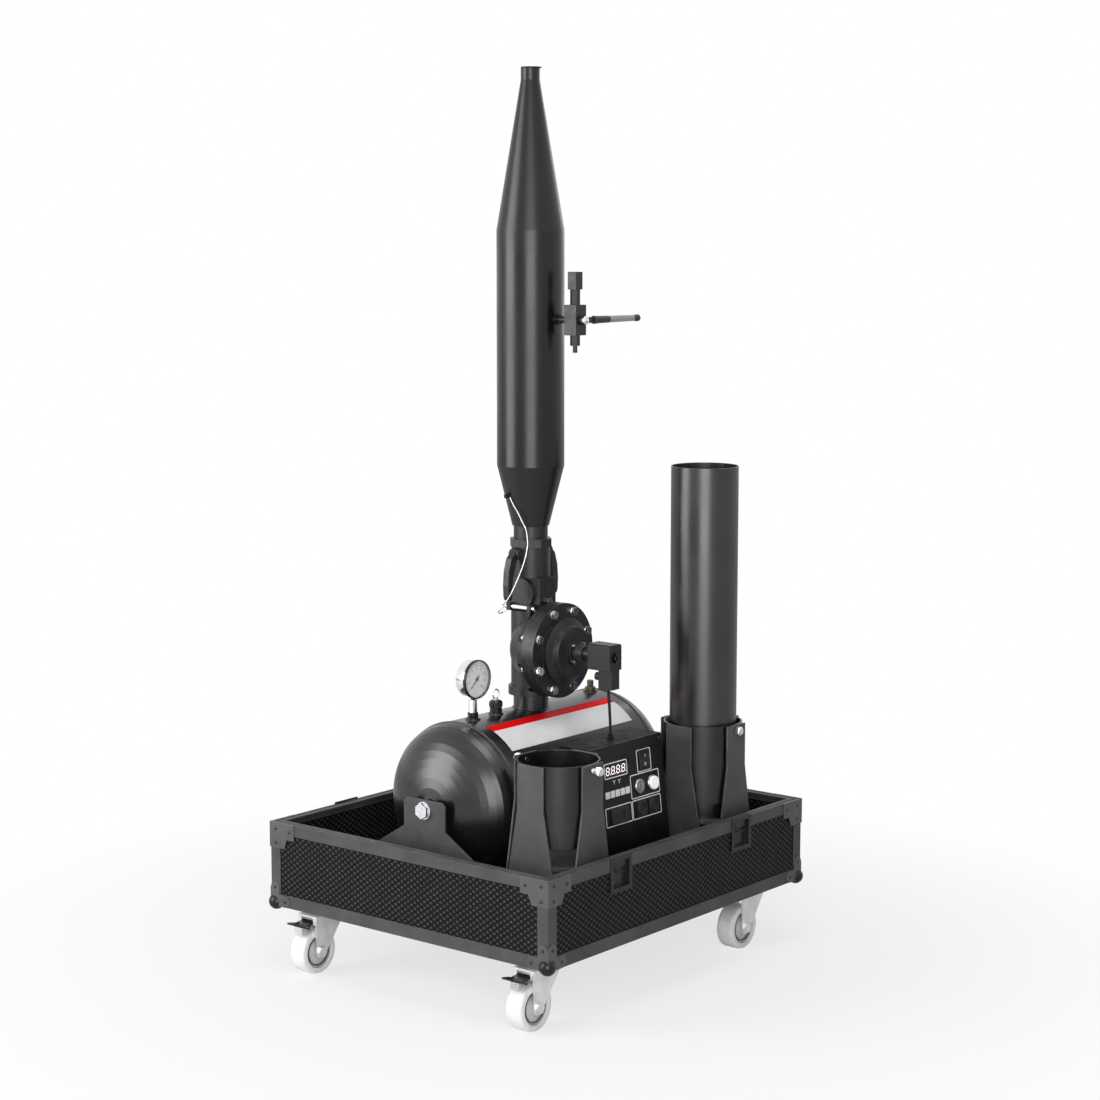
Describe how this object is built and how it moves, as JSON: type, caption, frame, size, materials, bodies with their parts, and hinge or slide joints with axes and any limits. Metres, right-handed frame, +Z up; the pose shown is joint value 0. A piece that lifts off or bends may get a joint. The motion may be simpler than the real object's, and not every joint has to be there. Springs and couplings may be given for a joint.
{
  "type": "confetti blower",
  "caption": "Wheeled case with an air tank, dump valve and upright confetti canister, tube holders and a control box.",
  "frame": {"origin": "on the floor under the middle of the case", "axes": "+Z up along the barrel, -Y towards the control panel, +X to the right when the panel is faced"},
  "size_m": [0.742, 0.6398, 1.565],
  "materials": {
    "plywood": "black textured laminate",
    "edging": "dark anodised extrusion",
    "case_steel": "black plated pressed steel",
    "zinc": "zinc plated",
    "wheel_plastic": "pale grey moulded",
    "pedal_steel": "gloss black",
    "frame_paint": "satin black powder coat",
    "bright_steel": "bright plated",
    "tank_paint": "gloss black",
    "gauge_steel": "polished steel",
    "needle_black": "matt black",
    "gauge_glass": "clear",
    "dark_brass": "blackened, knurled",
    "inlet_brass": "turned",
    "cast_black": "satin black casting",
    "black_rubber": "moulded",
    "core_steel": "turned",
    "coil_plastic": "moulded, satin",
    "wire_rope": "stranded steel",
    "barrel_paint": "satin black",
    "lever_grey": "satin grey",
    "panel_paint": "fine satin black with white lines",
    "display_red": "tinted window",
    "fitting_plastic": "moulded black",
    "key_steel": "turned",
    "white_plastic": "moulded white",
    "board_green": "solder mask"
  },
  "bodies": {
    "case": {"tray_floor": "plywood", "case_walls": "plywood", "case_edging": "edging", "corner_fittings": "case_steel", "latch_keepers": "case_steel", "caster_plates": "zinc", "tank_brackets": "frame_paint", "pivot_bolts": "bright_steel", "holder_sleeves": "frame_paint", "holder_legs": "frame_paint", "control_box": "frame_paint", "control_panel": "panel_paint", "display": "display_red", "panel_fittings": "fitting_plastic", "circuit_board": "board_green"},
    "fork_front_left": {"fork_front_left": "zinc"},
    "fork_front_right": {"fork_front_right": "zinc"},
    "fork_rear_left": {"fork_rear_left": "zinc"},
    "fork_rear_right": {"fork_rear_right": "zinc"},
    "wheel_front_left": {"wheel_front_left": "wheel_plastic"},
    "wheel_front_right": {"wheel_front_right": "wheel_plastic"},
    "wheel_rear_left": {"wheel_rear_left": "wheel_plastic"},
    "wheel_rear_right": {"wheel_rear_right": "wheel_plastic"},
    "brake_front_left": {"brake_front_left": "pedal_steel"},
    "brake_rear_left": {"brake_rear_left": "pedal_steel"},
    "tank": {"tank_shell": "tank_paint", "gauge_case": "gauge_steel", "gauge_glass": "gauge_glass", "safety_valve": "dark_brass", "air_inlet": "inlet_brass", "valve_body": "cast_black", "valve_cover": "cast_black", "valve_fasteners": "bright_steel", "diaphragm_spring": "bright_steel", "core_tube": "core_steel", "coil": "coil_plastic", "coil_plug": "coil_plastic", "coil_cable": "black_rubber", "outlet_block": "cast_black", "lanyard": "wire_rope", "coupling_body": "cast_black", "canister_adapter": "cast_black", "canister": "barrel_paint", "hand_valve_body": "cast_black"},
    "gauge_needle": {"gauge_needle": "needle_black"},
    "safety_ring": {"safety_ring": "bright_steel"},
    "diaphragm": {"diaphragm": "black_rubber"},
    "plunger": {"plunger": "core_steel"},
    "pull_pin": {"pull_pin": "bright_steel"},
    "cam_arm_left": {"cam_arm_left": "cast_black"},
    "cam_arm_right": {"cam_arm_right": "cast_black"},
    "hand_valve_lever": {"hand_valve_lever": "lever_grey"},
    "spare_tube": {"spare_tube": "barrel_paint"},
    "screw_left_front": {"screw_left_front": "bright_steel"},
    "screw_left_back": {"screw_left_back": "bright_steel"},
    "screw_right_front": {"screw_right_front": "bright_steel"},
    "screw_right_back": {"screw_right_back": "bright_steel"},
    "rocker_switch": {"rocker_switch": "fitting_plastic"},
    "key_switch": {"key_switch": "key_steel"},
    "push_button": {"push_button": "white_plastic"}
  },
  "joints": [
    {"name": "front_left_swivel", "type": "hinge", "parent": "case", "child": "fork_front_left", "pos_m": [-0.295, -0.245, 0.1], "axis": [0, 0, 1], "continuous": true},
    {"name": "front_right_swivel", "type": "hinge", "parent": "case", "child": "fork_front_right", "pos_m": [0.295, -0.245, 0.1], "axis": [0, 0, 1], "continuous": true},
    {"name": "rear_left_swivel", "type": "hinge", "parent": "case", "child": "fork_rear_left", "pos_m": [-0.295, 0.245, 0.1], "axis": [0, 0, 1], "continuous": true},
    {"name": "rear_right_swivel", "type": "hinge", "parent": "case", "child": "fork_rear_right", "pos_m": [0.295, 0.245, 0.1], "axis": [0, 0, 1], "continuous": true},
    {"name": "front_left_roll", "type": "hinge", "parent": "fork_front_left", "child": "wheel_front_left", "pos_m": [-0.331, -0.245, 0.04], "axis": [0, 1, 0], "continuous": true},
    {"name": "front_right_roll", "type": "hinge", "parent": "fork_front_right", "child": "wheel_front_right", "pos_m": [0.259, -0.245, 0.04], "axis": [0, 1, 0], "continuous": true},
    {"name": "rear_left_roll", "type": "hinge", "parent": "fork_rear_left", "child": "wheel_rear_left", "pos_m": [-0.331, 0.245, 0.04], "axis": [0, 1, 0], "continuous": true},
    {"name": "rear_right_roll", "type": "hinge", "parent": "fork_rear_right", "child": "wheel_rear_right", "pos_m": [0.259, 0.245, 0.04], "axis": [0, 1, 0], "continuous": true},
    {"name": "front_left_brake", "type": "hinge", "parent": "fork_front_left", "child": "brake_front_left", "pos_m": [-0.339, -0.245, 0.092], "axis": [0, -1, 0], "range_deg": [0, 12]},
    {"name": "rear_left_brake", "type": "hinge", "parent": "fork_rear_left", "child": "brake_rear_left", "pos_m": [-0.339, 0.245, 0.092], "axis": [0, -1, 0], "range_deg": [0, 12]},
    {"name": "tank_tilt", "type": "hinge", "parent": "case", "child": "tank", "pos_m": [0, 0.023, 0.314], "axis": [-1, 0, 0], "range_deg": [-10, 40], "deforming": ["coil_cable"]},
    {"name": "gauge_turn", "type": "hinge", "parent": "tank", "child": "gauge_needle", "pos_m": [-0.157, 0.01, 0.522], "axis": [0, 1, 0], "range_deg": [0, 270], "stiffness_Nm_per_rad": 0.00002},
    {"name": "safety_lift", "type": "slide", "parent": "tank", "child": "safety_ring", "axis": [0, 0, 1], "range_m": [0, 0.004], "stiffness_N_per_m": 2000},
    {"name": "diaphragm_lift", "type": "slide", "parent": "tank", "child": "diaphragm", "axis": [0, -1, 0], "range_m": [0, 0.009], "stiffness_N_per_m": 1500, "deforming": ["diaphragm_spring"]},
    {"name": "plunger_lift", "type": "slide", "parent": "tank", "child": "plunger", "axis": [0, -1, 0], "range_m": [0, 0.003], "stiffness_N_per_m": 400},
    {"name": "pin_pull", "type": "slide", "parent": "tank", "child": "pull_pin", "axis": [0, 1, 0], "range_m": [0, 0.07], "deforming": ["lanyard"]},
    {"name": "left_cam", "type": "hinge", "parent": "tank", "child": "cam_arm_left", "pos_m": [-0.04, 0.023, 0.726], "axis": [0, 1, 0], "range_deg": [0, 100]},
    {"name": "right_cam", "type": "hinge", "parent": "tank", "child": "cam_arm_right", "pos_m": [0.04, 0.023, 0.726], "axis": [0, -1, 0], "range_deg": [0, 100]},
    {"name": "lever_turn", "type": "hinge", "parent": "tank", "child": "hand_valve_lever", "pos_m": [0, -0.076, 1.135], "axis": [0, -1, 0], "range_deg": [0, 90]},
    {"name": "tube_lift", "type": "slide", "parent": "case", "child": "spare_tube", "axis": [0, 0, 1], "range_m": [0, 0.2]},
    {"name": "left_front_screw", "type": "hinge", "parent": "case", "child": "screw_left_front", "pos_m": [-0.205, -0.28, 0.412], "axis": [0, -1, 0], "continuous": true},
    {"name": "left_back_screw", "type": "hinge", "parent": "case", "child": "screw_left_back", "pos_m": [-0.205, -0.13, 0.412], "axis": [0, 1, 0], "continuous": true},
    {"name": "right_front_screw", "type": "hinge", "parent": "case", "child": "screw_right_front", "pos_m": [0.205, -0.28, 0.412], "axis": [0, -1, 0], "continuous": true},
    {"name": "right_back_screw", "type": "hinge", "parent": "case", "child": "screw_right_back", "pos_m": [0.205, -0.13, 0.412], "axis": [0, 1, 0], "continuous": true},
    {"name": "rocker", "type": "hinge", "parent": "case", "child": "rocker_switch", "pos_m": [0.044, -0.19445, 0.37623], "axis": [-1, 0, 0], "range_deg": [0, 9]},
    {"name": "key_turn", "type": "hinge", "parent": "case", "child": "key_switch", "pos_m": [0.025, -0.19738, 0.333], "axis": [0, -0.9935, 0.1136], "range_deg": [0, 90]},
    {"name": "button_press", "type": "slide", "parent": "case", "child": "push_button", "axis": [0, 0.9935, -0.1136], "range_m": [0, 0.003], "stiffness_N_per_m": 300}
  ]
}
